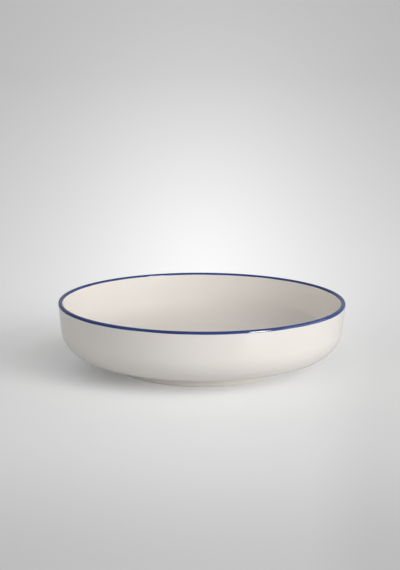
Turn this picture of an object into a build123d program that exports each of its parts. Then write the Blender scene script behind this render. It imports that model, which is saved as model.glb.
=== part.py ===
from build123d import *
from dataclasses import dataclass
from math import acos, atan2, cos, degrees, hypot, radians, sin
import os

# A low stoneware bowl with steep sides, a turned foot ring and a coloured rim, in
# millimetres. The axis of the bowl is Z, and the origin is the middle of the circle
# that the foot ring stands on. Every size is that of the finished, glazed bowl.
# A section is drawn with its radius along X and its height along Y, as a chain of
# round stretches and the straight lines that touch them. Each glaze coat lies between
# the finished line and the line of the clay, which runs parallel to it, one glaze
# thickness deeper, about the same centres.

# Overall size
bowl_diameter = 220.0
bowl_height = 52.3

# Outside: the wall, the turn under it, and the sloping underside
wall_lean = 5.7                   # degrees off upright
outer_turn_radius = 23.4
underside_slope = 13.6            # degrees off level

# Foot ring
foot_diameter = 129.0
foot_height = 5.0                 # where the underside's line meets the foot
foot_ring_width = 4.1
foot_fillet_radius = 2.0
foot_edge_round_share = 0.16      # of the foot ring's width
recess_depth = 3.2
recess_fillet_share = 0.55        # of the recess's depth

# Inside: the clay's thickness, and the turn between wall and floor
floor_thickness = 4.8             # on the axis
turn_thickness = 4.4              # midway round the turn
inner_turn_radius = 22.0

# Lip: its outer edge has a wide shoulder under a tighter round, its inner edge one round
lip_width = 3.4
outer_shoulder_share = 0.59       # shoulder radius, of the lip's width
outer_lip_round_share = 0.35      # of the lip's width
inner_lip_round_share = 0.34      # of the lip's width
shoulder_end_angle = 25.0         # degrees above level, where the tighter round takes over

# Glaze
glaze_thickness = 0.3
bare_foot_height = 1.1            # the foot is left unglazed up to here
band_outer_drop = 1.9             # how far the rim band reaches down outside
band_inner_drop = 1.4             # and inside

bowl_radius = bowl_diameter / 2
foot_radius = foot_diameter / 2
recess_radius = foot_radius - foot_ring_width
recess_fillet_radius = recess_depth * recess_fillet_share
shoulder_radius = lip_width * outer_shoulder_share
outer_lip_radius = lip_width * outer_lip_round_share
inner_lip_radius = lip_width * inner_lip_round_share
crown_radius = bowl_radius - lip_width / 2


@dataclass(frozen=True)
class Round:
    """A round stretch of the section: its circle, and the angles where it starts and ends.

    The radius is that of the finished line. Where the centre lies in the clay, the
    parallel line deeper in is rounder by the depth, and elsewhere it is flatter.
    """

    centre: tuple
    radius: float
    start: float
    end: float
    centre_in_clay: bool

    def arc(self, depth):
        """The stretch as an arc, at a depth below the finished line."""
        radius = self.radius - depth if self.centre_in_clay else self.radius + depth
        return CenterArc(self.centre, radius, self.start, self.end - self.start)


def foot_fillet():
    """Fillet from the foot's upright outer face into the sloping underside."""
    slope = radians(underside_slope)
    centre_radius = foot_radius + foot_fillet_radius
    rise = (foot_fillet_radius * sin(slope) - foot_fillet_radius) / cos(slope)
    centre = (centre_radius, foot_height + rise)
    return Round(centre, foot_fillet_radius, 180, 90 + underside_slope, False)


def outer_shoulder():
    """Lower part of the lip's outer edge. Its outermost point gives the bowl's diameter."""
    end = radians(shoulder_end_angle)
    upper_centre_height = bowl_height - outer_lip_radius
    drop = (shoulder_radius - outer_lip_radius) * sin(end)
    centre = (bowl_radius - shoulder_radius, upper_centre_height - drop)
    return Round(centre, shoulder_radius, -wall_lean, shoulder_end_angle, True)


def outer_lip():
    """Upper part of the lip's outer edge, which runs on from the shoulder to the level top."""
    end = radians(shoulder_end_angle)
    reach = (shoulder_radius - outer_lip_radius) * cos(end)
    centre = (bowl_radius - shoulder_radius + reach, bowl_height - outer_lip_radius)
    return Round(centre, outer_lip_radius, shoulder_end_angle, 90, True)


def outer_turn():
    """Turn that touches the outer wall's line and the underside's line."""
    lean = radians(wall_lean)
    slope = radians(underside_slope)
    shoulder_across, shoulder_up = outer_shoulder().centre
    wall_reach = shoulder_across * cos(lean) - shoulder_up * sin(lean)
    wall_reach += shoulder_radius - outer_turn_radius
    under_reach = foot_radius * sin(slope) - foot_height * cos(slope) - outer_turn_radius
    spread = sin(slope) * sin(lean) - cos(slope) * cos(lean)
    centre_radius = (under_reach * sin(lean) - wall_reach * cos(slope)) / spread
    centre_height = (under_reach * cos(lean) - wall_reach * sin(slope)) / spread
    centre = (centre_radius, centre_height)
    return Round(centre, outer_turn_radius, underside_slope - 90, -wall_lean, True)


def inner_turn_centre():
    """Centre of the inner turn, which leaves the turn's thickness on its middle line."""
    turn = outer_turn()
    middle = radians((turn.start + turn.end) / 2)
    shift = outer_turn_radius - turn_thickness - inner_turn_radius
    return (turn.centre[0] + shift * cos(middle), turn.centre[1] + shift * sin(middle))


def inner_lip_centre():
    """Centre of the lip's inner edge."""
    return (bowl_radius - lip_width + inner_lip_radius, bowl_height - inner_lip_radius)


def inner_wall_lean():
    """Lean of the line that touches the lip's inner edge and the inner turn, in degrees."""
    lip = inner_lip_centre()
    turn = inner_turn_centre()
    across = lip[0] - turn[0]
    up = lip[1] - turn[1]
    return degrees(acos((inner_lip_radius + inner_turn_radius) / hypot(across, up)) - atan2(up, across))


def inner_lip():
    """Inner edge of the lip."""
    return Round(inner_lip_centre(), inner_lip_radius, 90, 180 - inner_wall_lean(), True)


def floor_radius():
    """Radius of the dished floor that touches the inner turn and is low enough on the axis."""
    across, height = inner_turn_centre()
    rise = height - recess_depth - floor_thickness
    return (across**2 + rise**2 - inner_turn_radius**2) / (2 * (rise - inner_turn_radius))


def floor_centre():
    """Centre of the dished floor, on the axis."""
    return (0, recess_depth + floor_thickness + floor_radius())


def floor_edge_angle():
    """Angle at which the inner turn runs into the floor, seen from both centres."""
    across, height = inner_turn_centre()
    return degrees(atan2(height - floor_centre()[1], across))


def inner_turn():
    """Turn from the inner wall into the floor."""
    start = -inner_wall_lean()
    return Round(inner_turn_centre(), inner_turn_radius, start, floor_edge_angle(), False)


def dished_floor():
    """The floor inside, as a shallow dish."""
    return Round(floor_centre(), floor_radius(), floor_edge_angle(), -90, False)


def recess_fillet():
    """Fillet from the recess's level ceiling into the foot ring's inner face."""
    centre = (recess_radius - recess_fillet_radius, recess_depth - recess_fillet_radius)
    return Round(centre, recess_fillet_radius, 90, 0, False)


def base_line(depth):
    """Underside line of the recess, from the axis out and down to the standing height."""
    fillet_arc = recess_fillet().arc(depth)
    ceiling = Line((0, recess_depth + depth), fillet_arc @ 0)
    foot_inside = Line(fillet_arc @ 1, (recess_radius + depth, 0))
    return [ceiling, fillet_arc, foot_inside]


def outer_line(depth):
    """Outside line, from the standing height up to the middle of the lip's top."""
    fillet_arc = foot_fillet().arc(depth)
    turn_arc = outer_turn().arc(depth)
    shoulder_arc = outer_shoulder().arc(depth)
    lip_arc = outer_lip().arc(depth)
    foot_outside = Line((foot_radius - depth, 0), fillet_arc @ 0)
    underside = Line(fillet_arc @ 1, turn_arc @ 0)
    wall = Line(turn_arc @ 1, shoulder_arc @ 0)
    lip_top = Line(lip_arc @ 1, (crown_radius, bowl_height - depth))
    return [foot_outside, fillet_arc, underside, turn_arc, wall, shoulder_arc, lip_arc, lip_top]


def inner_line(depth):
    """Inside line, from the middle of the lip's top down to the floor on the axis."""
    lip_arc = inner_lip().arc(depth)
    turn_arc = inner_turn().arc(depth)
    lip_top = Line((crown_radius, bowl_height - depth), lip_arc @ 0)
    wall = Line(lip_arc @ 1, turn_arc @ 0)
    return [lip_top, lip_arc, wall, turn_arc, dished_floor().arc(depth)]


def coat_section(line):
    """Section of a glaze coat, between a finished line and the clay under it."""
    finished = line(0)
    clay = line(glaze_thickness)
    first_end = Line(finished[0] @ 0, clay[0] @ 0)
    last_end = Line(finished[-1] @ 1, clay[-1] @ 1)
    return make_face(finished + clay + [first_end, last_end])


def level_zone(low, high):
    """Window over a section, from one height to another."""
    return Pos(bowl_radius, (low + high) / 2) * Rectangle(bowl_diameter, high - low)


def turned(section):
    """Solid of a section turned about the bowl's axis."""
    return revolve(Plane.XZ * section, axis=Axis.Z)


def clay_body():
    """Fired clay: wall, floor, lip and foot ring, with the foot ring's edges rounded."""
    base = base_line(glaze_thickness)
    outside = outer_line(glaze_thickness)
    inside = inner_line(glaze_thickness)
    standing_face = Line(base[-1] @ 1, outside[0] @ 0)
    axis_line = Line(inside[-1] @ 1, base[0] @ 0)
    section = make_face(base + [standing_face] + outside + inside + [axis_line])
    foot_corners = section.vertices().group_by(Axis.Y)[0]
    return turned(fillet(foot_corners, foot_ring_width * foot_edge_round_share))


def inner_glaze():
    """Pale glaze inside, from the rim band down the wall and across the floor."""
    return turned(coat_section(inner_line) & level_zone(0, bowl_height - band_inner_drop))


def outer_glaze():
    """Pale glaze outside, from the rim band down to the bare part of the foot."""
    zone = level_zone(bare_foot_height, bowl_height - band_outer_drop)
    return turned(coat_section(outer_line) & zone)


def base_glaze():
    """Pale glaze in the recess inside the foot ring."""
    return turned(coat_section(base_line) & level_zone(bare_foot_height, bowl_height))


def rim_band():
    """Coloured glaze over the lip, between the inner and the outer pale glaze."""
    outside = coat_section(outer_line) & level_zone(bowl_height - band_outer_drop, bowl_height)
    inside = coat_section(inner_line) & level_zone(bowl_height - band_inner_drop, bowl_height)
    return turned(outside + inside)


pieces = {
    "clay_body": clay_body(),
    "inner_glaze": inner_glaze(),
    "outer_glaze": outer_glaze(),
    "base_glaze": base_glaze(),
    "rim_band": rim_band(),
}

os.makedirs("parts", exist_ok=True)
for name, piece in pieces.items():
    export_step(piece, f"parts/{name}.step")
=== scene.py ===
"""Looks of a low glazed stoneware bowl with a blue rim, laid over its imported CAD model.

Lengths are in metres and heights are +Z, in the frame of the CAD model: the axis of the
bowl is Z and the foot ring stands on the origin's level. Every skin of the bowl is one
turned surface whose section is a chain of touching rounds and straight lines, the same
chain as that of the CAD solids, followed at a depth under the finished surface.
"""

from __future__ import annotations

import logging
import math
from abc import ABC, abstractmethod
from collections.abc import Mapping
from dataclasses import dataclass, field, fields
from enum import Enum
from typing import ClassVar

import bpy
import numpy as np
from mathutils import Matrix, Vector

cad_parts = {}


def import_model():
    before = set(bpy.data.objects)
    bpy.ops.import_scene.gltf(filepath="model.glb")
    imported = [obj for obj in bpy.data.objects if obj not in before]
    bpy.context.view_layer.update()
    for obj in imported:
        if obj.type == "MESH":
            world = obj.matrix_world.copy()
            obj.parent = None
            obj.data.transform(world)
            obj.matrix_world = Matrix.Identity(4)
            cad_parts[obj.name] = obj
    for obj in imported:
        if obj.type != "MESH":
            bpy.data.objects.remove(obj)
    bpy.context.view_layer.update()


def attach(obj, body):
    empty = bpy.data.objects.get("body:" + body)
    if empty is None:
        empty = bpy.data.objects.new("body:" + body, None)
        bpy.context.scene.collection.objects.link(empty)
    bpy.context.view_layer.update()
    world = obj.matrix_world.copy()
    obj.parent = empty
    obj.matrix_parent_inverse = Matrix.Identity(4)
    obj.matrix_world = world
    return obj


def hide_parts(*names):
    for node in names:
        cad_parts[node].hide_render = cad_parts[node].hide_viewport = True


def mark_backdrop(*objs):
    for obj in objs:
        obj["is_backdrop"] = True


LOG = logging.getLogger("rimmed_bowl")
ROOT_BODY = "root"
MM = 0.001
SAME_POINT = 1e-9
FEWEST_STEPS = 6
SHARP_ANGLE = 48.0
FAR_FROM_EDGE = 10.0 * MM
CERAMIC_IOR = 1.5
UP = (0.0, 1.0)
EYE = (0.0, -1.351, 0.3393)

Part = tuple[np.ndarray, np.ndarray]
Range = tuple[float, float]
Colour = tuple[float, float, float]
Socket = bpy.types.NodeSocket
Feed = Socket | float | tuple[float, ...] | None


# Section of the bowl


@dataclass(frozen=True)
class Round:
    """A round stretch of the section: its circle and its two end angles, in degrees."""

    centre: tuple[float, float]
    radius: float
    start: float
    end: float
    centre_in_clay: bool

    def sampled(self, spacing: float) -> Part:
        """Points and outward normals along the round.

        Each point is the centre plus the radius times the cosine and sine of an angle
        that runs evenly from start to end. The normal is that same cosine and sine where
        the centre lies in the clay, and its opposite where it lies in the open.

        Args:
            spacing: Widest gap between two points.

        Returns:
            Two arrays of radius and height, one row for each point.
        """
        sweep = math.radians(abs(self.end - self.start)) * self.radius
        steps = max(FEWEST_STEPS, math.ceil(sweep / spacing))
        angles = np.radians(np.linspace(self.start, self.end, steps + 1))
        rays = np.column_stack((np.cos(angles), np.sin(angles)))
        points = np.array(self.centre) + self.radius * rays
        return points, rays if self.centre_in_clay else -rays


def lone_point(point: tuple[float, float], normal: tuple[float, float]) -> Part:
    """A part of a line that is one point with its outward normal."""
    return np.array([point]), np.array([normal])


@dataclass(frozen=True)
class Line:
    """A finished line of the section, with its outward normals and its running length."""

    points: np.ndarray
    normals: np.ndarray
    run: np.ndarray

    @classmethod
    def through(cls, parts: list[Part]) -> Line:
        """One line through parts in order. A straight stretch is the gap between two parts.

        Args:
            parts: Points and normals of each part.

        Returns:
            The line, with points that fall on the one before them left out.
        """
        points = np.concatenate([part[0] for part in parts])
        normals = np.concatenate([part[1] for part in parts])
        gaps = np.hypot(*np.diff(points, axis=0).T)
        kept = np.concatenate(([True], gaps > SAME_POINT))
        run = np.concatenate(([0.0], np.cumsum(gaps)))
        return cls(points[kept], normals[kept], run[kept])

    @property
    def length(self) -> float:
        """Running length of the whole line."""
        return float(self.run[-1])

    def at(self, run: np.ndarray, depth: np.ndarray | float) -> np.ndarray:
        """Points at running lengths and at depths below the line.

        Each point is the line's point at that length less the depth times its normal.

        Args:
            run: Running lengths, in any shape.
            depth: Depth below the line, one number or one for each length.

        Returns:
            Radius and height, with one more axis of two than the lengths have.
        """
        point = np.stack([np.interp(run, self.run, self.points[:, k]) for k in (0, 1)], axis=-1)
        normal = np.stack([np.interp(run, self.run, self.normals[:, k]) for k in (0, 1)], axis=-1)
        normal /= np.linalg.norm(normal, axis=-1, keepdims=True)
        return point - normal * np.asarray(depth)[..., None]

    def run_at_height(self, height: float) -> float:
        """Running length at which the line first passes a height.

        Args:
            height: The height.

        Returns:
            The running length, by straight steps between the line's points.
        """
        above = self.points[:, 1] - height
        first = int(np.flatnonzero(np.diff(np.sign(above)) != 0)[0])
        share = above[first] / (above[first] - above[first + 1])
        return float(self.run[first] + share * (self.run[first + 1] - self.run[first]))


@dataclass(frozen=True)
class BowlSection:
    """Sizes of the bowl's section, and the three finished lines that they give.

    Leans, slopes and end angles are in degrees.
    """

    diameter: float = 220.0 * MM
    height: float = 52.3 * MM
    wall_lean: float = 5.7
    outer_turn_radius: float = 23.4 * MM
    underside_slope: float = 13.6
    foot_diameter: float = 129.0 * MM
    foot_height: float = 5.0 * MM
    foot_ring_width: float = 4.1 * MM
    foot_fillet_radius: float = 2.0 * MM
    foot_edge_radius: float = 0.656 * MM
    recess_depth: float = 3.2 * MM
    recess_fillet_radius: float = 1.76 * MM
    floor_thickness: float = 4.8 * MM
    turn_thickness: float = 4.4 * MM
    inner_turn_radius: float = 22.0 * MM
    lip_width: float = 3.4 * MM
    shoulder_radius: float = 2.006 * MM
    outer_lip_radius: float = 1.19 * MM
    inner_lip_radius: float = 1.156 * MM
    shoulder_end_angle: float = 25.0
    glaze_thickness: float = 0.3 * MM
    bare_foot_height: float = 1.1 * MM
    band_outer_drop: float = 1.9 * MM
    band_inner_drop: float = 1.4 * MM
    spacing: float = 0.35 * MM

    @property
    def radius(self) -> float:
        """Half the bowl's diameter."""
        return self.diameter / 2

    @property
    def foot_radius(self) -> float:
        """Half the foot's diameter."""
        return self.foot_diameter / 2

    def crown(self) -> Part:
        """Middle of the lip's level top."""
        return lone_point((self.radius - self.lip_width / 2, self.height), UP)

    def foot_fillet(self) -> Round:
        """Fillet from the foot's upright face into the sloping underside.

        Returns:
            The round, whose centre is a radius off both.
        """
        slope = math.radians(self.underside_slope)
        size = self.foot_fillet_radius
        rise = (size * math.sin(slope) - size) / math.cos(slope)
        centre = (self.foot_radius + size, self.foot_height + rise)
        return Round(centre, size, 180, 90 + self.underside_slope, False)

    def shoulder(self) -> Round:
        """Lower part of the lip's outer edge.

        Returns:
            The round, whose outermost point gives the bowl's diameter.
        """
        end = math.radians(self.shoulder_end_angle)
        drop = (self.shoulder_radius - self.outer_lip_radius) * math.sin(end)
        centre = (self.radius - self.shoulder_radius, self.height - self.outer_lip_radius - drop)
        return Round(centre, self.shoulder_radius, -self.wall_lean, self.shoulder_end_angle, True)

    def outer_lip(self) -> Round:
        """Upper part of the lip's outer edge.

        Returns:
            The round, which runs on from the shoulder to the level top.
        """
        end = math.radians(self.shoulder_end_angle)
        size = self.outer_lip_radius
        reach = (self.shoulder_radius - size) * math.cos(end)
        centre = (self.radius - self.shoulder_radius + reach, self.height - size)
        return Round(centre, size, self.shoulder_end_angle, 90, True)

    def outer_turn(self) -> Round:
        """Turn under the outer wall.

        Returns:
            The round that touches the outer wall's line and the underside's line.
        """
        lean = math.radians(self.wall_lean)
        slope = math.radians(self.underside_slope)
        size = self.outer_turn_radius
        across, up = self.shoulder().centre
        wall = across * math.cos(lean) - up * math.sin(lean) + self.shoulder_radius - size
        under = self.foot_radius * math.sin(slope) - self.foot_height * math.cos(slope) - size
        spread = math.sin(slope) * math.sin(lean) - math.cos(slope) * math.cos(lean)
        centre = (
            (under * math.sin(lean) - wall * math.cos(slope)) / spread,
            (under * math.cos(lean) - wall * math.sin(slope)) / spread,
        )
        return Round(centre, size, self.underside_slope - 90, -self.wall_lean, True)

    def inner_turn_centre(self) -> tuple[float, float]:
        """Centre of the inner turn, shifted from the outer turn's along its middle line.

        Returns:
            Radius and height. The shift leaves the turn's thickness between the two.
        """
        turn = self.outer_turn()
        middle = math.radians((turn.start + turn.end) / 2)
        shift = self.outer_turn_radius - self.turn_thickness - self.inner_turn_radius
        return (turn.centre[0] + shift * math.cos(middle), turn.centre[1] + shift * math.sin(middle))

    def inner_lip_centre(self) -> tuple[float, float]:
        """Centre of the lip's inner edge."""
        size = self.inner_lip_radius
        return (self.radius - self.lip_width + size, self.height - size)

    def inner_lean(self) -> float:
        """Lean of the inner wall, which touches the lip's inner edge and the inner turn.

        Returns:
            The angle off upright, in degrees.
        """
        across = self.inner_lip_centre()[0] - self.inner_turn_centre()[0]
        up = self.inner_lip_centre()[1] - self.inner_turn_centre()[1]
        reach = (self.inner_lip_radius + self.inner_turn_radius) / math.hypot(across, up)
        return math.degrees(math.acos(reach) - math.atan2(up, across))

    def floor_round(self) -> Round:
        """The dished floor.

        Returns:
            The round that touches the inner turn and is thick enough on the axis.
        """
        across, height = self.inner_turn_centre()
        turn = self.inner_turn_radius
        level = self.recess_depth + self.floor_thickness
        rise = height - level
        size = (across**2 + rise**2 - turn**2) / (2 * (rise - turn))
        centre = (0.0, level + size)
        edge = math.degrees(math.atan2(height - centre[1], across))
        return Round(centre, size, edge, -90, False)

    def recess_line(self) -> Line:
        """Underside of the recess.

        Returns:
            The line from the axis out and down to the standing height.
        """
        size = self.recess_fillet_radius
        inside = self.foot_radius - self.foot_ring_width
        fillet = Round((inside - size, self.recess_depth - size), size, 90, 0, False)
        middle = lone_point((0.0, self.recess_depth), (0.0, -1.0))
        foot = lone_point((inside, 0.0), (-1.0, 0.0))
        return Line.through([middle, fillet.sampled(self.spacing), foot])

    def outside_line(self) -> Line:
        """Outside of the bowl.

        Returns:
            The line from the standing height up to the middle of the lip's top.
        """
        foot = lone_point((self.foot_radius, 0.0), (1.0, 0.0))
        rounds = (self.foot_fillet(), self.outer_turn(), self.shoulder(), self.outer_lip())
        return Line.through([foot, *[part.sampled(self.spacing) for part in rounds], self.crown()])

    def inside_line(self) -> Line:
        """Inside of the bowl.

        Returns:
            The line from the middle of the lip's top down to the floor on the axis.
        """
        lean = self.inner_lean()
        floor = self.floor_round()
        lip = Round(self.inner_lip_centre(), self.inner_lip_radius, 90, 180 - lean, True)
        turn = Round(self.inner_turn_centre(), self.inner_turn_radius, -lean, floor.start, False)
        rounds = (lip, turn, floor)
        return Line.through([self.crown(), *[part.sampled(self.spacing) for part in rounds]])


# Turned meshes


def even_angles(count: int) -> np.ndarray:
    """Angles round the axis, a whole turn shared out evenly."""
    return np.arange(count) * 2 * math.pi / count


def graded(stops: tuple[float, ...], counts: tuple[int, ...]) -> np.ndarray:
    """Numbers from the first stop to the last, evenly spaced between each stop and the next.

    Args:
        stops: Ends of the stretches, in order.
        counts: How many numbers each stretch has, with both its ends.

    Returns:
        A column of the numbers, with a shared end held once.
    """
    parts = [np.linspace(*ends) for ends in zip(stops, stops[1:], counts)]
    return np.concatenate((parts[0], *[part[1:] for part in parts[1:]]))[:, None]


def put_in_scene(name: str, data: bpy.types.ID) -> bpy.types.Object:
    """A new object, linked to the scene.

    Args:
        name: The object's name.
        data: Its mesh, lamp or camera.

    Returns:
        The object.
    """
    obj = bpy.data.objects.new(name, data)
    bpy.context.scene.collection.objects.link(obj)
    return obj


@dataclass(frozen=True)
class Turned:
    """A turned surface: radius and height on a grid of rows by steps round the axis.

    A ringed section is closed on itself. Any other starts and ends on the axis, where
    its first and last rows shrink to one point. Each point of the grid has its distance
    from the coat's nearest edge, and the whole surface has a share of painted warmth, a
    warm tint that stands in for light bounced inside the bowl.
    """

    grid: np.ndarray
    ringed: bool
    edge_run: np.ndarray
    pooled: float = 0.0

    @classmethod
    def skin(cls, first: Part, second: np.ndarray, ringed: bool, pooled: float = 0.0) -> Turned:
        """A skin of two sets of rows, the second of them far from the coat's edge.

        Args:
            first: Rows of points, and their distances from the coat's edge.
            second: Rows of points that follow them.
            ringed: Whether the section is closed on itself. Otherwise the first and the
                last row are drawn in to the axis.
            pooled: Share of a painted warm tint, for light bounced inside the bowl.

        Returns:
            The surface.
        """
        grid = np.concatenate((first[0], second))
        if not ringed:
            grid[0, :, 0] = grid[-1, :, 0] = 0.0
        far = np.full(second.shape[:2], FAR_FROM_EDGE)
        return cls(grid, ringed, np.concatenate((first[1], far)), pooled)

    def per_vertex(self, values: np.ndarray) -> np.ndarray:
        """Values on the grid as one for each vertex.

        Args:
            values: Numbers or points, by rows and steps.

        Returns:
            All of them in order, but only one from a row that shrinks to a point.
        """
        if self.ringed:
            return values.reshape(-1, *values.shape[2:])
        middle = values[1:-1].reshape(-1, *values.shape[2:])
        return np.concatenate((values[0, :1], middle, values[-1, :1]))

    def vertices(self) -> np.ndarray:
        """Points of the surface: radius times cosine, radius times sine, and height.

        Returns:
            One row of three for each vertex.
        """
        angles = even_angles(self.grid.shape[1])
        radius, height = self.grid[..., 0], self.grid[..., 1]
        points = np.stack((radius * np.cos(angles), radius * np.sin(angles), height), axis=-1)
        return self.per_vertex(points)

    def faces(self) -> list[list[int]]:
        """Four-sided faces between neighbouring rows, and a fan of triangles at each pole.

        Returns:
            The corners of each face, as numbers of vertices.
        """
        rows, around = self.grid.shape[:2]
        step = np.arange(around)
        following = (step + 1) % around
        if self.ringed:
            low = np.arange(rows)[:, None] * around
            high = np.roll(low, -1, axis=0)
        else:
            low = 1 + np.arange(rows - 3)[:, None] * around
            high = low + around
        corners = (low + step, low + following, high + following, high + step)
        quads = np.stack(corners, axis=-1).reshape(-1, 4).tolist()
        if self.ringed:
            return quads
        last = 1 + (rows - 2) * around
        ring = last - around
        bottom = np.stack((np.zeros_like(step), 1 + following, 1 + step), axis=-1)
        top = np.stack((ring + step, ring + following, np.full_like(step, last)), axis=-1)
        return bottom.tolist() + quads + top.tolist()

    def brush_path(self) -> np.ndarray:
        """Where a vertex lies for a finish laid on round the rim.

        The first two numbers go once round a circle of the bowl's rim, and the third is
        the distance along the section, so a pattern on them has no seam.

        Returns:
            One row of three for each vertex.
        """
        shape = self.grid.shape[:2]
        angles = even_angles(shape[1])
        gaps = np.linalg.norm(np.diff(self.grid[:, 0], axis=0), axis=-1)
        along = np.concatenate(([0.0], np.cumsum(gaps)))[:, None]
        radius = BowlSection().radius
        ways = (radius * np.cos(angles), radius * np.sin(angles), along)
        return self.per_vertex(np.stack([np.broadcast_to(way, shape) for way in ways], axis=-1))

    def as_object(self, name: str) -> bpy.types.Object:
        """The surface as a smooth object at the origin, with its three attributes.

        Args:
            name: Name of the piece and its mesh.

        Returns:
            The object, linked to the scene.
        """
        mesh = bpy.data.meshes.new(name)
        mesh.from_pydata(self.vertices().tolist(), [], self.faces())
        mesh.polygons.foreach_set("use_smooth", np.ones(len(mesh.polygons), bool))
        for title, kind, key, values in (
            ("edge_run", "FLOAT", "value", self.per_vertex(self.edge_run)),
            ("brush_path", "FLOAT_VECTOR", "vector", self.brush_path()),
            ("pooled", "FLOAT", "value", np.full(len(mesh.vertices), self.pooled)),
        ):
            layer = mesh.attributes.new(title, kind, "POINT")
            layer.data.foreach_set(key, values.astype(np.float32).reshape(-1))
        mesh.set_sharp_from_angle(angle=math.radians(SHARP_ANGLE))
        mesh.update()
        return put_in_scene(name, mesh)


@dataclass(frozen=True)
class HandWave:
    """A slow unevenness round the rim: a few sine waves of whole numbers of turns."""

    reach: float
    turns: tuple[int, ...]
    shifts: tuple[float, ...]

    def at(self, angles: np.ndarray) -> np.ndarray:
        """Mean of the sines of each whole number of turns, times the reach."""
        waves = [np.sin(turn * angles + shift) for turn, shift in zip(self.turns, self.shifts)]
        return self.reach * np.mean(waves, axis=0)


# Shader nodes


@dataclass
class NodeBoard:
    """Adds and joins nodes in one tree, left to right."""

    tree: bpy.types.NodeTree
    column: int = 0
    column_width: ClassVar[int] = 190
    lane_height: ClassVar[int] = 220
    lanes: ClassVar[int] = 5

    def fill(self, node: bpy.types.Node, feeds: Mapping[str | int, Feed]) -> None:
        """Feeds the inputs of a node. A socket is linked, and a constant is set.

        Args:
            node: The node.
            feeds: A source socket, number, vector or colour for each input, by name or
                place. None leaves an input as it is.
        """
        for place, value in feeds.items():
            target = node.inputs[place]
            if isinstance(value, Socket):
                self.tree.links.new(value, target)
            elif value is not None:
                target.default_value = (*value, 1.0) if target.type == "RGBA" else value

    def add(
        self, kind: str, feeds: Mapping[str | int, Feed] | None = None, **settings: object
    ) -> bpy.types.Node:
        """A new node, to the right of the one before it.

        Args:
            kind: The node's type.
            feeds: What its inputs are fed with.
            settings: Its own settings, by name.

        Returns:
            The node.
        """
        node = self.tree.nodes.new(kind)
        lane = len(self.tree.nodes) % self.lanes
        node.location = (self.column * self.column_width, -lane * self.lane_height)
        self.column += 1
        for name, value in settings.items():
            setattr(node, name, value)
        self.fill(node, feeds or {})
        return node

    def place(self) -> Socket:
        """Object coordinates of the piece."""
        return self.add("ShaderNodeTexCoord").outputs["Object"]

    def attribute(self, name: str, output: str = "Fac") -> Socket:
        """One of the piece's own attributes."""
        return self.add("ShaderNodeAttribute", attribute_name=name).outputs[output]

    def noise(self, vector: Socket, scale: Feed, detail: Feed, rough: Feed = 0.5) -> Socket:
        """Value of a noise pattern on a vector, about 0.5 in the mean."""
        feeds = {"Vector": vector, "Scale": scale, "Detail": detail, "Roughness": rough}
        return self.add("ShaderNodeTexNoise", feeds).outputs["Fac"]

    def ranged(
        self,
        value: Socket,
        source: tuple[Feed, Feed],
        target: tuple[Feed, Feed],
        soft: bool = False,
    ) -> Socket:
        """A value brought from one range to another, and held there.

        Args:
            value: The value.
            source: Range that it comes from.
            target: Range that it is brought to.
            soft: Whether it eases in and out at the ends, and isn't in straight proportion.

        Returns:
            The value in its new range.
        """
        ease = "SMOOTHSTEP" if soft else "LINEAR"
        ends = zip(("From Min", "From Max", "To Min", "To Max"), (*source, *target))
        feeds = {"Value": value, **dict(ends)}
        node = self.add("ShaderNodeMapRange", feeds, clamp=True, interpolation_type=ease)
        return node.outputs["Result"]

    def maths(self, operation: str, first: Feed, second: Feed = None) -> Socket:
        """Result of an operation on one value, or on two."""
        return self.add("ShaderNodeMath", {0: first, 1: second}, operation=operation).outputs[0]

    def times(self, first: Socket, *others: Feed) -> Socket:
        """Product of values, multiplied in order.

        Args:
            first: The first value.
            others: Those that it is multiplied by.

        Returns:
            The product.
        """
        for other in others:
            first = self.maths("MULTIPLY", first, other)
        return first

    def plus(self, first: Socket, *others: Feed) -> Socket:
        """Sum of values, added in order.

        Args:
            first: The first value.
            others: Those that are added to it.

        Returns:
            The sum.
        """
        for other in others:
            first = self.maths("ADD", first, other)
        return first

    def hypotenuse(self, first: Socket, second: Socket) -> Socket:
        """Root of the sum of the squares of two values."""
        squares = [self.maths("POWER", side, 2.0) for side in (first, second)]
        return self.maths("POWER", self.plus(*squares), 0.5)

    def tint(self, share: Socket, first: Feed, second: Feed) -> Socket:
        """Colour that goes from the first to the second as the share goes from 0 to 1."""
        feeds = {0: share, 6: first, 7: second}
        return self.add("ShaderNodeMix", feeds, data_type="RGBA").outputs[2]

    def mixed(self, share: Socket, first: Feed, second: Feed) -> Socket:
        """Value that goes from the first to the second as the share goes from 0 to 1."""
        return self.add("ShaderNodeMix", {0: share, 2: first, 3: second}).outputs[0]

    def stretched(self, vector: Socket, scale: tuple[float, float, float]) -> Socket:
        """A vector with its three parts scaled."""
        return self.add("ShaderNodeMapping", {"Vector": vector, "Scale": scale}).outputs["Vector"]

    def bump(self, height: Socket, depth: float, normal: Socket | None = None) -> Socket:
        """Normal of a relief of a depth in metres, over another normal where one is given."""
        feeds = {"Strength": 1.0, "Distance": depth, "Height": height, "Normal": normal}
        return self.add("ShaderNodeBump", feeds).outputs["Normal"]


def cleared(owner: bpy.types.Material | bpy.types.World) -> NodeBoard:
    """A board on the nodes of a new material or world.

    Args:
        owner: The material or world.

    Returns:
        The board, with no node on it.
    """
    owner.use_nodes = True
    owner.node_tree.nodes.clear()
    return NodeBoard(owner.node_tree)


def new_material(name: str) -> tuple[bpy.types.Material, NodeBoard, bpy.types.Node]:
    """A material with a Principled shader, joined to its output.

    Args:
        name: The material's name.

    Returns:
        The material, its board and its shader.
    """
    material = bpy.data.materials.new(name)
    board = cleared(material)
    shader = board.add("ShaderNodeBsdfPrincipled")
    board.add("ShaderNodeOutputMaterial", {"Surface": shader.outputs["BSDF"]})
    return material, board, shader


class Wire(Enum):
    """Kinds of socket on a group of nodes."""

    NUMBER = "NodeSocketFloat"
    VECTOR = "NodeSocketVector"


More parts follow.
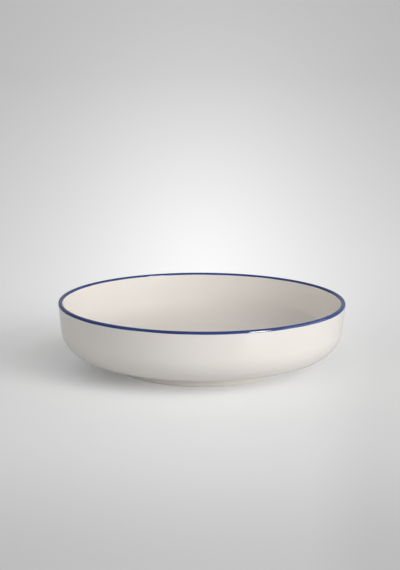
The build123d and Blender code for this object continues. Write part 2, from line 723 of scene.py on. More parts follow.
@dataclass(frozen=True)
class Effect(ABC):
    """An effect that more than one finish shows: a group of nodes, built at its first use.

    The group has an input for its source and one for each field. Each finish places the
    group with its own numbers for the fields.
    """

    group_name: ClassVar[str]
    source: ClassVar[tuple[str, Wire]]
    results: ClassVar[dict[str, Wire]]

    @classmethod
    @abstractmethod
    def lay(cls, board: NodeBoard, given: Mapping[str, Socket]) -> dict[str, Feed]:
        """Adds the effect's nodes between the group's inputs and its results.

        Args:
            board: Board of the group.
            given: The group's inputs.

        Returns:
            What each result shows.
        """

    @classmethod
    def group(cls) -> bpy.types.NodeTree:
        """The group, built where there is none yet.

        Returns:
            Its tree.
        """
        tree = bpy.data.node_groups.get(cls.group_name)
        if tree is not None:
            return tree
        tree = bpy.data.node_groups.new(cls.group_name, "ShaderNodeTree")
        numbers = [(number.name, Wire.NUMBER) for number in fields(cls)]
        for name, wire in (cls.source, *numbers):
            tree.interface.new_socket(name, in_out="INPUT", socket_type=wire.value)
        for name, wire in cls.results.items():
            tree.interface.new_socket(name, in_out="OUTPUT", socket_type=wire.value)
        board = NodeBoard(tree)
        entry = board.add("NodeGroupInput")
        board.add("NodeGroupOutput", cls.lay(board, entry.outputs))
        return tree

    def placed(self, board: NodeBoard, source: Socket) -> Mapping[str, Socket]:
        """The group on a finish's board.

        Args:
            board: Board of the finish.
            source: What the group's source is fed with.

        Returns:
            The results.
        """
        feeds = {number.name: getattr(self, number.name) for number in fields(self)}
        feeds[self.source[0]] = source
        return board.add("ShaderNodeGroup", feeds, node_tree=self.group()).outputs


@dataclass(frozen=True)
class GlazeSurface(Effect):
    """What every fired glaze shows: slow waves, fine peel and mottling, each a noise."""

    wave_scale: float
    peel_scale: float
    mottle_scale: float
    group_name: ClassVar[str] = "fired_glaze_surface"
    source: ClassVar[tuple[str, Wire]] = ("position", Wire.VECTOR)
    results: ClassVar[dict[str, Wire]] = {"mottle": Wire.NUMBER, "normal": Wire.VECTOR}
    wave_depth: ClassVar[float] = 0.05 * MM
    peel_depth: ClassVar[float] = 0.002 * MM

    @classmethod
    def lay(cls, board: NodeBoard, given: Mapping[str, Socket]) -> dict[str, Feed]:
        """Adds the three noises, and the reliefs of the waves and of the peel over them.

        Args:
            board: Board of the group.
            given: The group's inputs.

        Returns:
            The mottling, about 0.5 in the mean, and the normal.
        """
        place = given["position"]
        waves = board.noise(place, given["wave_scale"], detail=1.0)
        peel = board.noise(place, given["peel_scale"], detail=2.0)
        mottle = board.noise(place, given["mottle_scale"], detail=4.0, rough=0.6)
        slow = board.bump(waves, cls.wave_depth)
        return {"mottle": mottle, "normal": board.bump(peel, cls.peel_depth, slow)}


@dataclass(frozen=True)
class ThinEdge(Effect):
    """A glaze's thinning towards its edge: strongest at the edge, and none a width away."""

    width: float
    strength: float
    group_name: ClassVar[str] = "thin_edge"
    source: ClassVar[tuple[str, Wire]] = ("edge_run", Wire.NUMBER)
    results: ClassVar[dict[str, Wire]] = {"share": Wire.NUMBER}

    @classmethod
    def lay(cls, board: NodeBoard, given: Mapping[str, Socket]) -> dict[str, Feed]:
        """Adds the soft fall from the strength to nothing.

        Args:
            board: Board of the group.
            given: The group's inputs.

        Returns:
            The share of thin glaze.
        """
        reach, fall = (0.0, given["width"]), (given["strength"], 0.0)
        return {"share": board.ranged(given["edge_run"], reach, fall, soft=True)}


@dataclass(frozen=True)
class Specks(Effect):
    """Fine dots in loose patches: the middles of cells, where a noise is high."""

    cell_scale: float
    dot_core: float
    dot_edge: float
    patch_scale: float
    patch_detail: float
    patch_low: float
    patch_high: float
    strength: float
    group_name: ClassVar[str] = "specks"
    source: ClassVar[tuple[str, Wire]] = ("position", Wire.VECTOR)
    results: ClassVar[dict[str, Wire]] = {"share": Wire.NUMBER}

    @classmethod
    def lay(cls, board: NodeBoard, given: Mapping[str, Socket]) -> dict[str, Feed]:
        """Adds the cells' dots, and the patches that let them show.

        Args:
            board: Board of the group.
            given: The group's inputs.

        Returns:
            The share of the specks' colour.
        """
        place = given["position"]
        feeds = {"Vector": place, "Scale": given["cell_scale"]}
        cells = board.add("ShaderNodeTexVoronoi", feeds).outputs["Distance"]
        dots = board.ranged(cells, (given["dot_core"], given["dot_edge"]), (1.0, 0.0))
        patches = board.noise(place, given["patch_scale"], given["patch_detail"])
        shown = (0.0, given["strength"])
        chosen = board.ranged(patches, (given["patch_low"], given["patch_high"]), shown)
        return {"share": board.times(dots, chosen)}


# Finishes


@dataclass(frozen=True)
class CreamGlaze:
    """The pale glossy glaze, a little darker where it thins, with painted warmth for bounced light
    inside.
    """

    colour: Colour = (0.87, 0.832, 0.785)
    mottled: Colour = (0.855, 0.815, 0.765)
    # Painted light: a warmer tint for the inside coat, which stands in for light bounced inside the
    # bowl.
    pooled: Colour = (0.90, 0.84, 0.775)
    thin: Colour = (0.85, 0.81, 0.75)
    speck: Colour = (0.55, 0.47, 0.38)
    roughness: float = 0.10
    mottling: Range = (0.38, 0.68)
    surface: GlazeSurface = GlazeSurface(wave_scale=45.0, peel_scale=650.0, mottle_scale=26.0)
    thinning: ThinEdge = ThinEdge(width=0.9 * MM, strength=0.55)
    specks: Specks = Specks(
        cell_scale=140.0,
        dot_core=0.02,
        dot_edge=0.06,
        patch_scale=60.0,
        patch_detail=0.0,
        patch_low=0.62,
        patch_high=0.66,
        strength=0.5,
    )

    def material(self) -> bpy.types.Material:
        """The glaze as a material.

        Returns:
            The material.
        """
        material, board, shader = new_material("cream_glaze")
        place = board.place()
        surface = self.surface.placed(board, place)
        share = board.ranged(surface["mottle"], self.mottling, (0.0, 1.0))
        specks = self.specks.placed(board, place)["share"]
        edge = self.thinning.placed(board, board.attribute("edge_run"))["share"]
        colour = board.tint(share, self.colour, self.mottled)
        # Painted light: the inside coat is tinted warmer for the light bounced inside the bowl.
        colour = board.tint(board.attribute("pooled"), colour, self.pooled)
        colour = board.tint(specks, colour, self.speck)
        colour = board.tint(edge, colour, self.thin)
        board.fill(shader, {"Base Color": colour, "Normal": surface["normal"]})
        board.fill(shader, {"Roughness": self.roughness, "IOR": CERAMIC_IOR})
        return material


@dataclass(frozen=True)
class CobaltGlaze:
    """The blue glaze of the rim, laid on round the lip, deeper where it is thick.

    Strokes and slow changes of its thickness run round the lip, and a low bead stands
    along each edge: it rises from the edge, and falls away over a wider stretch.
    """

    deep: Colour = (0.016, 0.034, 0.145)
    bright: Colour = (0.042, 0.085, 0.32)
    pale: Colour = (0.16, 0.20, 0.46)
    roughness: float = 0.10
    stroke_stretch: tuple[float, float, float] = (45.0, 45.0, 900.0)
    slow_stretch: tuple[float, float, float] = (14.0, 14.0, 60.0)
    stroke_share: float = 0.55
    slow_share: float = 0.45
    thickness: Range = (0.36, 0.64)
    brightness: Range = (0.15, 0.85)
    bead_rise: Range = (0.0, 0.05 * MM)
    bead_fall: Range = (0.05 * MM, 0.75 * MM)
    bead_height: float = 0.08 * MM
    surface: GlazeSurface = GlazeSurface(wave_scale=60.0, peel_scale=800.0, mottle_scale=90.0)
    thinning: ThinEdge = ThinEdge(width=0.22 * MM, strength=0.55)

    def material(self) -> bpy.types.Material:
        """The glaze as a material.

        Returns:
            The material.
        """
        material, board, shader = new_material("blue_glaze")
        surface = self.surface.placed(board, board.place())
        path = board.attribute("brush_path", "Vector")
        stroke = board.noise(board.stretched(path, self.stroke_stretch), 1.0, 3.0, 0.6)
        slow = board.noise(board.stretched(path, self.slow_stretch), 1.0, 1.0)
        stroke, slow = board.times(stroke, self.stroke_share), board.times(slow, self.slow_share)
        share = board.ranged(board.plus(stroke, slow), self.thickness, self.brightness)
        run = board.attribute("edge_run")
        edge = self.thinning.placed(board, run)["share"]
        colour = board.tint(share, self.deep, self.bright)
        colour = board.tint(edge, colour, self.pale)
        rise = board.ranged(run, self.bead_rise, (0.0, 1.0), soft=True)
        fall = board.ranged(run, self.bead_fall, (1.0, 0.0), soft=True)
        bead = board.bump(board.times(rise, fall), self.bead_height, surface["normal"])
        board.fill(shader, {"Base Color": colour, "Normal": bead})
        board.fill(shader, {"Roughness": self.roughness, "IOR": CERAMIC_IOR})
        return material


@dataclass(frozen=True)
class BareStoneware:
    """The fired clay that shows at the foot ring: matt buff, clouded, with fine dark grit."""

    colour: Colour = (0.84, 0.80, 0.73)
    shade: Colour = (0.79, 0.74, 0.665)
    grit: Colour = (0.42, 0.34, 0.25)
    roughness: Range = (0.72, 0.9)
    cloud_scale: float = 90.0
    shade_clouds: Range = (0.35, 0.65)
    rough_clouds: Range = (0.3, 0.7)
    grain_scale: float = 2600.0
    grain_depth: float = 0.03 * MM
    specks: Specks = Specks(
        cell_scale=620.0,
        dot_core=0.10,
        dot_edge=0.2,
        patch_scale=240.0,
        patch_detail=1.0,
        patch_low=0.52,
        patch_high=0.58,
        strength=0.75,
    )

    def material(self) -> bpy.types.Material:
        """The clay as a material.

        Returns:
            The material.
        """
        material, board, shader = new_material("bare_stoneware")
        place = board.place()
        cloud = board.noise(place, self.cloud_scale, 4.0, 0.65)
        grain = board.noise(place, self.grain_scale, 3.0, 0.7)
        shade = board.ranged(cloud, self.shade_clouds, (0.0, 1.0))
        colour = board.tint(shade, self.colour, self.shade)
        colour = board.tint(self.specks.placed(board, place)["share"], colour, self.grit)
        rough = board.ranged(cloud, self.rough_clouds, self.roughness)
        relief = board.bump(grain, self.grain_depth)
        board.fill(shader, {"Base Color": colour, "Roughness": rough, "Normal": relief})
        board.fill(shader, {"IOR": CERAMIC_IOR})
        return material


class Slot(Enum):
    """Material slots, one for each finish."""

    CLAY = "bare_stoneware"
    CREAM = "cream_glaze"
    BLUE = "blue_glaze"


@dataclass
class Finishes:
    """The three finishes, made once and shared by the pieces."""

    made: dict[Slot, bpy.types.Material] = field(default_factory=dict)

    def material(self, slot: Slot) -> bpy.types.Material:
        """Material of a slot, made at its first use.

        Args:
            slot: The slot.

        Returns:
            The material.
        """
        if slot not in self.made:
            kinds = {Slot.CLAY: BareStoneware, Slot.CREAM: CreamGlaze, Slot.BLUE: CobaltGlaze}
            self.made[slot] = kinds[slot]().material()
        return self.made[slot]

    def dress(self, obj: bpy.types.Object, slot: Slot, node: str) -> bpy.types.Object:
        """Gives a piece its material, its body and its slot, and lets it stand for a CAD node.

        Args:
            obj: The piece.
            slot: Slot that it takes its finish from.
            node: CAD node that it replaces.

        Returns:
            The same piece.
        """
        obj.data.materials.clear()
        obj.data.materials.append(self.material(slot))
        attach(obj, ROOT_BODY)
        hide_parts(node)
        return obj


# Pieces of the bowl


@dataclass
class Bowl:
    """The clay body with its glaze coats and its blue rim.

    Depths are those of the coats' skins under the finished surface. A coat is closed by
    rows on the clay, which lie a glaze thickness deep.
    """

    finishes: Finishes
    section: BowlSection = field(default_factory=BowlSection)
    around: int = 384
    cream_depth: float = 0.05 * MM
    band_depth: float = 0.02 * MM
    band_lap: float = 0.55 * MM
    edge_roll: float = 0.28 * MM
    foot_edge_spacing: float = 0.12 * MM
    # Share of the painted warm tint on the inside coat, which stands in for bounced light.
    pooled_inside: float = 0.38
    clay_recess_rows: int = 30
    clay_outside_rows: int = 110
    clay_inside_rows: int = 90
    outer_stops: tuple[float, ...] = (0.0, 0.004, 1.0)
    outer_rows: tuple[int, ...] = (9, 120)
    outer_clay_rows: int = 60
    inner_rows: int = 110
    inner_clay_rows: int = 60
    recess_stops: tuple[float, ...] = (0.0, 0.96, 1.0)
    recess_rows: tuple[int, ...] = (50, 24)
    recess_clay_rows: int = 30
    band_outer_rows: int = 44
    band_inner_rows: int = 30
    outer_wave: HandWave = HandWave(0.16 * MM, (3, 7, 11, 19), (0.4, 2.1, 4.4, 1.0))
    inner_wave: HandWave = HandWave(0.12 * MM, (2, 5, 13, 23), (1.3, 0.2, 3.1, 5.0))

    def seam(self, line: Line, drop: float, wave: HandWave) -> np.ndarray:
        """Running length of a line at the band's edge, at each angle.

        Args:
            line: Finished line that the edge crosses.
            drop: How far the edge lies below the top of the lip.
            wave: How it wanders round the rim.

        Returns:
            One row of running lengths.
        """
        level = line.run_at_height(self.section.height - drop)
        return (level + wave.at(even_angles(self.around)))[None]

    def outer_seam(self) -> np.ndarray:
        """Seam of the band and the cream coat outside."""
        shape = self.section
        return self.seam(shape.outside_line(), shape.band_outer_drop, self.outer_wave)

    def inner_seam(self) -> np.ndarray:
        """Seam of the band and the cream coat inside."""
        shape = self.section
        return self.seam(shape.inside_line(), shape.band_inner_drop, self.inner_wave)

    def rolled(self, distance: np.ndarray, depth: float) -> np.ndarray:
        """Depth of a coat's surface near a free edge, where it rolls down to the clay.

        The depth follows a quarter of an ellipse, from the clay at the edge to the coat's
        own depth one roll's width away.

        Args:
            distance: Distance from the edge.
            depth: The coat's own depth.

        Returns:
            A depth for each distance.
        """
        share = np.clip(distance / self.edge_roll, 0, 1)
        fall = 1 - np.sqrt(1 - (1 - share) ** 2)
        return depth + (self.section.glaze_thickness - depth) * fall

    def clay_body(self) -> bpy.types.Object:
        """Clay: the recess, the rounded foot, the outside and the inside, a glaze deeper.

        Returns:
            The piece.
        """
        shape = self.section
        deep = shape.glaze_thickness
        recess, outside, inside = shape.recess_line(), shape.outside_line(), shape.inside_line()
        edge = shape.foot_edge_radius
        inner_face = shape.foot_radius - shape.foot_ring_width + deep
        outer_face = shape.foot_radius - deep
        inner_edge = Round((inner_face + edge, edge), edge, 180, 270, True)
        outer_edge = Round((outer_face - edge, edge), edge, 270, 360, True)
        recess_run = np.linspace(0, recess.length - edge, self.clay_recess_rows)
        outside_run = np.linspace(edge, outside.length, self.clay_outside_rows)
        inside_run = np.linspace(0, inside.length, self.clay_inside_rows)
        section = np.concatenate(
            (
                recess.at(recess_run, deep)[:-1],
                inner_edge.sampled(self.foot_edge_spacing)[0],
                outer_edge.sampled(self.foot_edge_spacing)[0],
                outside.at(outside_run, deep)[1:],
                inside.at(inside_run, deep)[1:],
            )
        )
        section[0, 0] = section[-1, 0] = 0.0
        grid = np.repeat(section[:, None], self.around, axis=1)
        skin = Turned(grid, False, np.full(grid.shape[:2], FAR_FROM_EDGE))
        return self.finishes.dress(skin.as_object("fired_clay"), Slot.CLAY, "clay_body")

    def outer_coat(self) -> bpy.types.Object:
        """Cream outside, from its rolled edge on the foot up to the seam with the band.

        Returns:
            The piece.
        """
        shape = self.section
        line = shape.outside_line()
        start = shape.bare_foot_height
        reach = self.outer_seam() - start
        run = start + reach * graded(self.outer_stops, self.outer_rows)
        back = start + reach * np.linspace(1, 0, self.outer_clay_rows)[:-1, None]
        surface = line.at(run, self.rolled(run - start, self.cream_depth))
        under = line.at(back, shape.glaze_thickness)
        skin = Turned.skin((surface, np.minimum(run - start, FAR_FROM_EDGE)), under, ringed=True)
        return self.finishes.dress(skin.as_object("outside_cream"), Slot.CREAM, "outer_glaze")

    def inner_coat(self) -> bpy.types.Object:
        """Cream inside, from the seam with the band down to the floor on the axis.

        Returns:
            The piece.
        """
        line = self.section.inside_line()
        seam = self.inner_seam()
        run = seam + (line.length - seam) * np.linspace(0, 1, self.inner_rows)[:, None]
        back = seam + (line.length - seam) * np.linspace(1, 0, self.inner_clay_rows)[:, None]
        under = line.at(back, self.section.glaze_thickness)
        surface = line.at(run, self.cream_depth)
        far = np.full(under.shape[:2], FAR_FROM_EDGE)
        skin = Turned.skin((under, far), surface, ringed=False, pooled=self.pooled_inside)
        return self.finishes.dress(skin.as_object("inside_cream"), Slot.CREAM, "inner_glaze")

    def recess_coat(self) -> bpy.types.Object:
        """Cream in the recess, from the axis out to its rolled edge inside the foot ring.

        Returns:
            The piece.
        """
        shape = self.section
        line = shape.recess_line()
        end = line.length - shape.bare_foot_height
        rows = graded(self.recess_stops, self.recess_rows)
        run = np.repeat(end * rows, self.around, axis=1)
        back_rows = np.linspace(1, 0, self.recess_clay_rows)[1:, None]
        back = np.repeat(end * back_rows, self.around, axis=1)
        surface = line.at(run, self.rolled(end - run, self.cream_depth))
        under = line.at(back, shape.glaze_thickness)
        skin = Turned.skin((surface, np.minimum(end - run, FAR_FROM_EDGE)), under, ringed=False)
        return self.finishes.dress(skin.as_object("recess_cream"), Slot.CREAM, "base_glaze")

    def band_half(
        self, line: Line, ends: tuple[np.ndarray, np.ndarray], rows: int, seam_first: bool
    ) -> tuple[np.ndarray, np.ndarray, np.ndarray]:
        """Rows of the band along one finished line, outer surface and clay side.

        The surface starts as deep as the cream coat at the seam, and rises to the band's
        own depth over the lap, easing in and out.

        Args:
            line: Finished line that the band lies on.
            ends: Running lengths where the half starts and ends, at each angle.
            rows: Number of rows.
            seam_first: Whether the seam is at the half's start.

        Returns:
            Surface rows, clay rows and distances from the seam.
        """
        low, high = ends
        run = low + (high - low) * np.linspace(0, 1, rows)[:, None]
        distance = run - low if seam_first else high - run
        lap = np.clip(distance / self.band_lap, 0, 1)
        rise = lap * lap * (3 - 2 * lap)
        depth = self.cream_depth + (self.band_depth - self.cream_depth) * rise
        return line.at(run, depth), line.at(run, self.section.glaze_thickness), distance

    def rim_band(self) -> bpy.types.Object:
        """Blue glaze from the outer seam over the lip to the inner seam.

        Returns:
            The piece.
        """
        outside, inside = self.section.outside_line(), self.section.inside_line()
        outer_ends = (self.outer_seam(), np.full((1, self.around), outside.length))
        inner_ends = (np.zeros((1, self.around)), self.inner_seam())
        first = self.band_half(outside, outer_ends, self.band_outer_rows, True)
        second = self.band_half(inside, inner_ends, self.band_inner_rows, False)
        halves = [np.concatenate((outer, inner[1:])) for outer, inner in zip(first, second)]
        surface, under, distance = halves
        skin = Turned.skin((surface, distance), under[::-1], ringed=True)
        return self.finishes.dress(skin.as_object("rim_blue"), Slot.BLUE, "rim_band")

    def build(self) -> list[bpy.types.Object]:
        """All the pieces, from the clay outwards.

        Returns:
            The pieces.
        """
        makers = (self.clay_body, self.recess_coat, self.outer_coat, self.inner_coat, self.rim_band)
        pieces = []
        for maker in makers:
            piece = maker()
            LOG.info("%s: %d faces", piece.name, len(piece.data.polygons))
            pieces.append(piece)
        return pieces


# Studio


def studio_ray(azimuth: float, elevation: float) -> Vector:
    """Direction at an azimuth to the right of the camera's side, and an elevation.

    It is the sine and the opposite of the cosine of the azimuth, both times the cosine of
    the elevation, and the sine of the elevation.

    Args:
        azimuth: Angle in degrees.
        elevation: Angle in degrees.

    Returns:
        The direction, of length one.
    """
    side, rise = math.radians(azimuth), math.radians(elevation)
    level = math.cos(rise)
    return Vector((math.sin(side) * level, -math.cos(side) * level, math.sin(rise)))


@dataclass(frozen=True)
class Softbox:
    """A rectangular lamp that faces a point near the bowl.

    Its azimuth is to the right of the camera's side. A lamp that sheds lights matt
    surfaces, and one that is mirrored shows in gloss. A lamp may light some pieces only.
    """

    name: str
    azimuth: float
    elevation: float
    distance: float
    width: float
    height: float
    power: float
    sheds: bool = True
    mirrored: bool = True
    only_on: tuple[str, ...] = ()
    aim: tuple[float, float, float] = (0.0, 0.0, 0.03)

    def place(self) -> bpy.types.Object:
        """Sets the lamp up.

        Returns:
            The lamp.
        """
        data = bpy.data.lights.new(self.name, "AREA")
        data.shape = "RECTANGLE"
        data.size, data.size_y = self.width, self.height
        data.energy = self.power
        ray = studio_ray(self.azimuth, self.elevation)
        lamp = put_in_scene(self.name, data)
        lamp.location = Vector(self.aim) + ray * self.distance
        lamp.rotation_euler = ray.to_track_quat("Z", "Y").to_euler()
        lamp.visible_camera = False
        lamp.visible_diffuse = self.sheds
        lamp.visible_glossy = self.mirrored
        if self.only_on:
            lit = bpy.data.collections.new(self.name + "_lit")
            for name in self.only_on:
                lit.objects.link(bpy.data.objects[name])
            lamp.light_linking.receiver_collection = lit
        return lamp


@dataclass(frozen=True)
class FloorPoint:
    """Where a point of the floor lies, as sockets on one board.

    It is so far across to the right of the bowl's axis, so far along behind it, at a
    distance from it in any direction, and so far away along the floor from the level of
    the place that the photograph was taken from.
    """

    across: Socket
    along: Socket
    distance: Socket
    away: Socket
    least_away: ClassVar[float] = 0.35

    @classmethod
    def read(cls, board: NodeBoard) -> FloorPoint:
        """Adds the nodes that read the point.

        Args:
            board: Board of the floor's material.

        Returns:
            The point.
        """
        place = board.place()
        parts = board.add("ShaderNodeSeparateXYZ", {0: place}).outputs
        length = board.add("ShaderNodeVectorMath", {0: place}, operation="LENGTH")
        away = board.maths("MAXIMUM", board.plus(parts["Y"], -EYE[1]), cls.least_away)
        return cls(parts["X"], parts["Y"], length.outputs["Value"], away)


@dataclass(frozen=True)
class LightPool:
    """The pool of light on the floor behind the bowl, and the shade under the bowl.

    The pool is round where the floor's point is divided by how far away it is, so it
    widens behind the bowl. The shade is deeper under the bowl's left.
    """

    centre: float = 0.1963
    squeeze: float = 1.4
    reach: float = 0.128
    power: float = 1.6
    level: float = 0.37
    rest: float = 0.08
    front_reach: Range = (0.21, 0.31)
    front_tone: Range = (1.0, 0.5)
    shade_centre: tuple[float, float] = (-0.014, 0.032)
    shade_reach: Range = (0.088, 0.148)
    shade_tilt: float = 0.8
    shade_left: Range = (-0.02, 0.045)
    shade_change: Range = (-0.32, -0.63)

    def glow(self, board: NodeBoard, point: FloorPoint) -> Socket:
        """Level of the pool, with a weaker rest that fades towards the front.

        The pool falls off as e to the minus of a power of the distance from its centre,
        measured in reaches.

        Args:
            board: Board of the floor's material.
            point: Point of the floor.

        Returns:
            The level.
        """
        down = board.times(board.maths("POWER", point.away, -1.0), EYE[2])
        side = board.times(board.maths("DIVIDE", point.across, point.away), self.squeeze)
        below = board.maths("SUBTRACT", down, self.centre)
        off = board.maths("DIVIDE", board.hypotenuse(side, below), self.reach)
        fall = board.maths("EXPONENT", board.times(board.maths("POWER", off, self.power), -1.0))
        level = board.plus(board.times(fall, self.level), self.rest)
        return board.times(level, board.ranged(down, self.front_reach, self.front_tone, soft=True))

    def shade(self, board: NodeBoard, point: FloorPoint) -> Socket:
        """What is left of the pool in the shade under the bowl.

        Args:
            board: Board of the floor's material.
            point: Point of the floor.

        Returns:
            A share, 1 outside the shade.
        """
        middle = (-self.shade_centre[0], -self.shade_centre[1])
        ways = (board.plus(point.across, middle[0]), board.plus(point.along, middle[1]))
        under = board.ranged(board.hypotenuse(*ways), self.shade_reach, (1.0, 0.0), soft=True)
        tilted = board.times(point.along, self.shade_tilt)
        leftward = board.maths("SUBTRACT", tilted, point.across)
        change = board.ranged(leftward, self.shade_left, self.shade_change, soft=True)
        return board.plus(board.times(under, change), 1.0)


@dataclass(frozen=True)
class PaintedReflection:
    """A painted reflection: a bright glow on the floor, in front of the bowl and to the right, that
    only gloss sees.

    It starts at a slanting edge, and fades out near the bowl and beside it.
    """

    edge: float = -0.0975
    turn: float = 52.5
    softness: float = 0.002
    near: Range = (0.165, 0.19)
    ahead: Range = (-0.185, -0.13)
    level: float = 1.0

    def glow(self, board: NodeBoard, point: FloorPoint) -> Socket:
        """Level of the painted reflection.

        Args:
            board: Board of the floor's material.
            point: Point of the floor.

        Returns:
            The level.
        """
        slant = math.radians(self.turn)
        ways = (board.times(point.across, math.cos(slant)), board.times(point.along, math.sin(slant)))
        edge = (self.edge - self.softness, self.edge + self.softness)
        level = board.ranged(board.plus(*ways), edge, (0.0, self.level), soft=True)
        clear = board.ranged(point.distance, self.near, (0.0, 1.0), soft=True)
        ahead = board.ranged(point.along, self.ahead, (1.0, 0.0), soft=True)
        return board.times(level, board.times(clear, ahead))


@dataclass(frozen=True)
class Paper:
    """Matt pale paper for the floor, open from below.

    The eye and gloss see a tone that is darker in front, far behind and to the right, as
    painted shade, a little cooler beside the foot, and lit by the pool's painted light and
    shade; gloss also sees a painted reflection. Other light meets a tone of its own, which
    sets what the floor throws back at the bowl.
    """

    pool: LightPool = LightPool()
    painted_reflection: PaintedReflection = PaintedReflection()
    # Painted shade: the tone that the eye and gloss see falls off in front, far behind and to the
    # right.
    front_painted_shade: Range = (0.67, 0.87)
    near_reach: Range = (-0.458, -0.181)
    far_painted_shade: Range = (1.0, 0.85)
    far_reach: Range = (0.2, 2.6)
    right_reach: Range = (0.055, 0.105)
    right_depth: Range = (0.0, 0.5)
    right_start: Range = (-0.8, -0.5)
    right_painted_shade: float = -0.1
    bounce: Range = (1.0, 0.62)
    bounce_reach: Range = (0.07, 0.13)
    plain_tone: Colour = (1.0, 1.0, 1.0)
    cool_tone: Colour = (1.01, 1.03, 1.055)
    cool_reach: Range = (0.08, 0.14)
    recess_light: float = 0.1
    recess_edge: Range = (0.057, 0.059)
    gloss_share: float = 0.5

    def tone(self, board: NodeBoard, point: FloorPoint) -> Socket:
        """Tone that the eye and gloss see, painted shade: darker in front, far behind and to the
        right.

        Args:
            board: Board of the material.
            point: Point of the floor.

        Returns:
            The tone, as a share of white.
        """
        near = board.ranged(point.along, self.near_reach, self.front_painted_shade, soft=True)
        far = board.ranged(point.along, self.far_reach, self.far_painted_shade)
        aside = board.maths("DIVIDE", point.across, point.away)
        right = board.ranged(aside, self.right_reach, (0.0, self.right_painted_shade), soft=True)
        behind = board.ranged(point.along, self.right_depth, (1.0, 0.0), soft=True)
        before = board.ranged(point.along, self.right_start, (0.0, 1.0), soft=True)
        return board.times(near, far, board.plus(board.times(right, behind, before), 1.0))

    def material(self) -> bpy.types.Material:
        """The paper as a material: a matt shader plus a glow, and clear from below.

        Returns:
            The material.
        """
        material = bpy.data.materials.new("studio_paper")
        board = cleared(material)
        point = FloorPoint.read(board)
        rays = board.add("ShaderNodeLightPath").outputs
        eye, gloss = rays["Is Camera Ray"], rays["Is Glossy Ray"]
        seen = board.maths("MAXIMUM", eye, gloss)
        lit = board.maths("MAXIMUM", eye, board.times(gloss, self.gloss_share))
        pool = board.times(self.pool.glow(board, point), self.pool.shade(board, point))
        pool = board.times(pool, lit)
        # Painted reflection: a glow on the floor that only gloss sees.
        painted_reflection = board.times(self.painted_reflection.glow(board, point), gloss)
        recess = board.ranged(point.distance, self.recess_edge, (self.recess_light, 0.0))
        glow = board.plus(pool, painted_reflection, recess)
        bounced = board.ranged(point.distance, self.bounce_reach, self.bounce, soft=True)
        tone = board.mixed(seen, bounced, self.tone(board, point))
        beside = board.ranged(point.distance, self.cool_reach, (1.0, 0.0), soft=True)
        tint = board.tint(board.times(beside, seen), self.plain_tone, self.cool_tone)
        colour = board.add("ShaderNodeVectorMath", {0: tint, "Scale": tone}, operation="SCALE")
        matt = board.add("ShaderNodeBsdfDiffuse", {"Color": colour.outputs[0]}).outputs[0]
        light = board.add("ShaderNodeEmission", {"Strength": glow}).outputs[0]
        above = board.add("ShaderNodeAddShader", {0: matt, 1: light}).outputs[0]
        below = board.add("ShaderNodeBsdfTransparent").outputs[0]
        backs = board.add("ShaderNodeNewGeometry").outputs["Backfacing"]
        sides = board.add("ShaderNodeMixShader", {0: backs, 1: above, 2: below}).outputs[0]
        board.add("ShaderNodeOutputMaterial", {"Surface": sides})
        return material


@dataclass(frozen=True)
class AirPatch:
    """A soft bright patch of the air, at its azimuth to the right of the camera's side."""

    name: str
    azimuth: float
    elevation: float
    level: float


@dataclass(frozen=True)
class Air:
    """Pale air with a few soft bright patches, and a dim backdrop that gloss shows.

    Gloss sees the patches at a share of their level.
    """

    patches: tuple[AirPatch, ...] = (
        AirPatch("left_front", -60.0, 10.0, 0.51),
        AirPatch("front_left", -30.0, 10.0, 0.64),
        AirPatch("front_right", 30.0, 10.0, 0.78),
        AirPatch("window_side", 60.0, 10.0, 1.55),
        AirPatch("right_back", 120.0, 10.0, 0.5),
        AirPatch("low_back", 180.0, 10.0, 0.7),
        AirPatch("high_back_left", -150.0, 45.0, 0.5),
        AirPatch("high_left", -90.0, 45.0, 0.35),
        AirPatch("ceiling", 0.0, 90.0, 0.24),
    )
    patch_power: float = 6.0
    gloss_share: float = 0.4
    backdrop_level: float = 0.05
    backdrop_reach: Range = (0.0, 0.8)

    def place(self) -> bpy.types.World:
        """Makes the air the scene's world.

        Each patch is its level times a power of the cosine of the angle from its middle.

        Returns:
            The world.
        """
        world = bpy.data.worlds.new("studio_air")
        board = cleared(world)
        direction = board.add("ShaderNodeTexCoord").outputs["Generated"]
        back = board.add("ShaderNodeSeparateXYZ", {0: direction}).outputs["Y"]
        behind = board.ranged(back, self.backdrop_reach, (0.0, self.backdrop_level), soft=True)
        gloss = board.add("ShaderNodeLightPath").outputs["Is Glossy Ray"]
        share = board.ranged(gloss, (0.0, 1.0), (1.0, self.gloss_share))
        level = board.times(gloss, behind)
        for patch in self.patches:
            ways = {0: direction, 1: studio_ray(patch.azimuth, patch.elevation)}
            cosine = board.add("ShaderNodeVectorMath", ways, operation="DOT_PRODUCT")
            facing = board.maths("MAXIMUM", cosine.outputs["Value"], 0.0)
            soft = board.maths("POWER", facing, self.patch_power)
            level = board.plus(level, board.times(soft, share, patch.level))
        feeds = {"Color": (1.0, 1.0, 1.0), "Strength": level}
        light = board.add("ShaderNodeBackground", feeds).outputs[0]
        board.add("ShaderNodeOutputWorld", {"Surface": light})
        bpy.context.scene.world = world
        return world


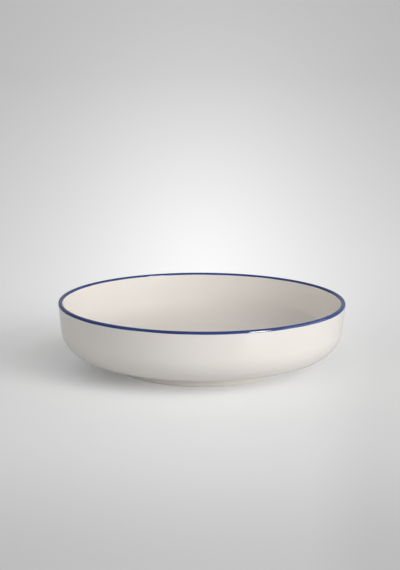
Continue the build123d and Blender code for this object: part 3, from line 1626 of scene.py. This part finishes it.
@dataclass(frozen=True)
class Viewpoint:
    """The photograph's viewing angle.

    The camera looks along +Y from the eye, turned right by its yaw, down by its pitch and
    then about its own axis by its roll, all in radians.
    """

    eye: tuple[float, float, float] = EYE
    pitch: float = 0.20103
    yaw: float = -0.0011
    roll: float = 0.0037
    lens: float = 113.7
    sensor_width: float = 36.0
    farthest: float = 60.0

    def place(self) -> bpy.types.Object:
        """Sets up the scene's camera.

        Returns:
            The camera.
        """
        data = bpy.data.cameras.new("view")
        data.sensor_fit = "AUTO"
        data.sensor_width = self.sensor_width
        data.lens = self.lens
        data.clip_end = self.farthest
        down = math.cos(self.pitch)
        forward = Vector(
            (math.sin(self.yaw) * down, math.cos(self.yaw) * down, -math.sin(self.pitch))
        )
        level = Vector((math.cos(self.yaw), -math.sin(self.yaw), 0.0))
        upright = level.cross(forward)
        right = math.cos(self.roll) * level + math.sin(self.roll) * upright
        up = -math.sin(self.roll) * level + math.cos(self.roll) * upright
        turn = Matrix((right, up, -forward)).transposed().to_4x4()
        camera = put_in_scene("view", data)
        camera.matrix_world = Matrix.Translation(self.eye) @ turn
        bpy.context.scene.camera = camera
        return camera


@dataclass(frozen=True)
class Studio:
    """Camera, air, lamps and floor.

    The key lamp and the low fill shape the bowl and don't show in gloss. The strip and
    the panel show only there, as the glint and the sheen of the rim.
    """

    viewpoint: Viewpoint = Viewpoint()
    air: Air = Air()
    paper: Paper = Paper()
    floor_radius: float = 14.0
    floor_sides: int = 96
    lamps: tuple[Softbox, ...] = (
        Softbox("key_softbox", 50.0, 22.0, 1.6, 0.75, 0.75, 8.7, mirrored=False),
        Softbox("low_fill", 20.0, 12.0, 1.6, 0.75, 0.75, 1.2, mirrored=False),
        Softbox(
            "rim_strip", 42.5, 6.5, 1.3, 0.34, 0.28, 12.0,
            sheds=False, only_on=("rim_blue", "outside_cream"),
        ),
        Softbox(
            "rim_panel", 88.0, 12.0, 1.3, 1.1, 0.5, 3.5,
            sheds=False, only_on=("rim_blue",),
        ),
    )

    def floor(self) -> bpy.types.Object:
        """A wide round floor at the foot's standing height.

        It is one face, whose corners are the cosine and sine of even angles times the
        radius.

        Returns:
            The floor.
        """
        angles = even_angles(self.floor_sides)
        ring = np.stack((np.cos(angles), np.sin(angles), np.zeros_like(angles)), axis=-1)
        mesh = bpy.data.meshes.new("studio_floor")
        mesh.from_pydata((ring * self.floor_radius).tolist(), [], [list(range(self.floor_sides))])
        mesh.materials.append(self.paper.material())
        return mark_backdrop(put_in_scene("studio_floor", mesh))

    def build(self) -> None:
        """Puts the studio round the bowl. The lamps need the bowl's pieces to be there."""
        bpy.context.scene.view_settings.view_transform = "Standard"
        self.viewpoint.place()
        self.air.place()
        for lamp in self.lamps:
            lamp.place()
        self.floor()
        LOG.info("studio: camera, air, %d lamps and floor", len(self.lamps))


def corners(bounds: object) -> list[list[float]]:
    """Bounds as plain lists of numbers."""
    return [[float(number) for number in corner] for corner in bounds]


def main() -> None:
    """Loads the frame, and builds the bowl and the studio."""
    logging.basicConfig(level=logging.INFO, format="%(name)s %(message)s")
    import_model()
    Bowl(Finishes()).build()
    Studio().build()


if __name__ == "__main__":
    main()
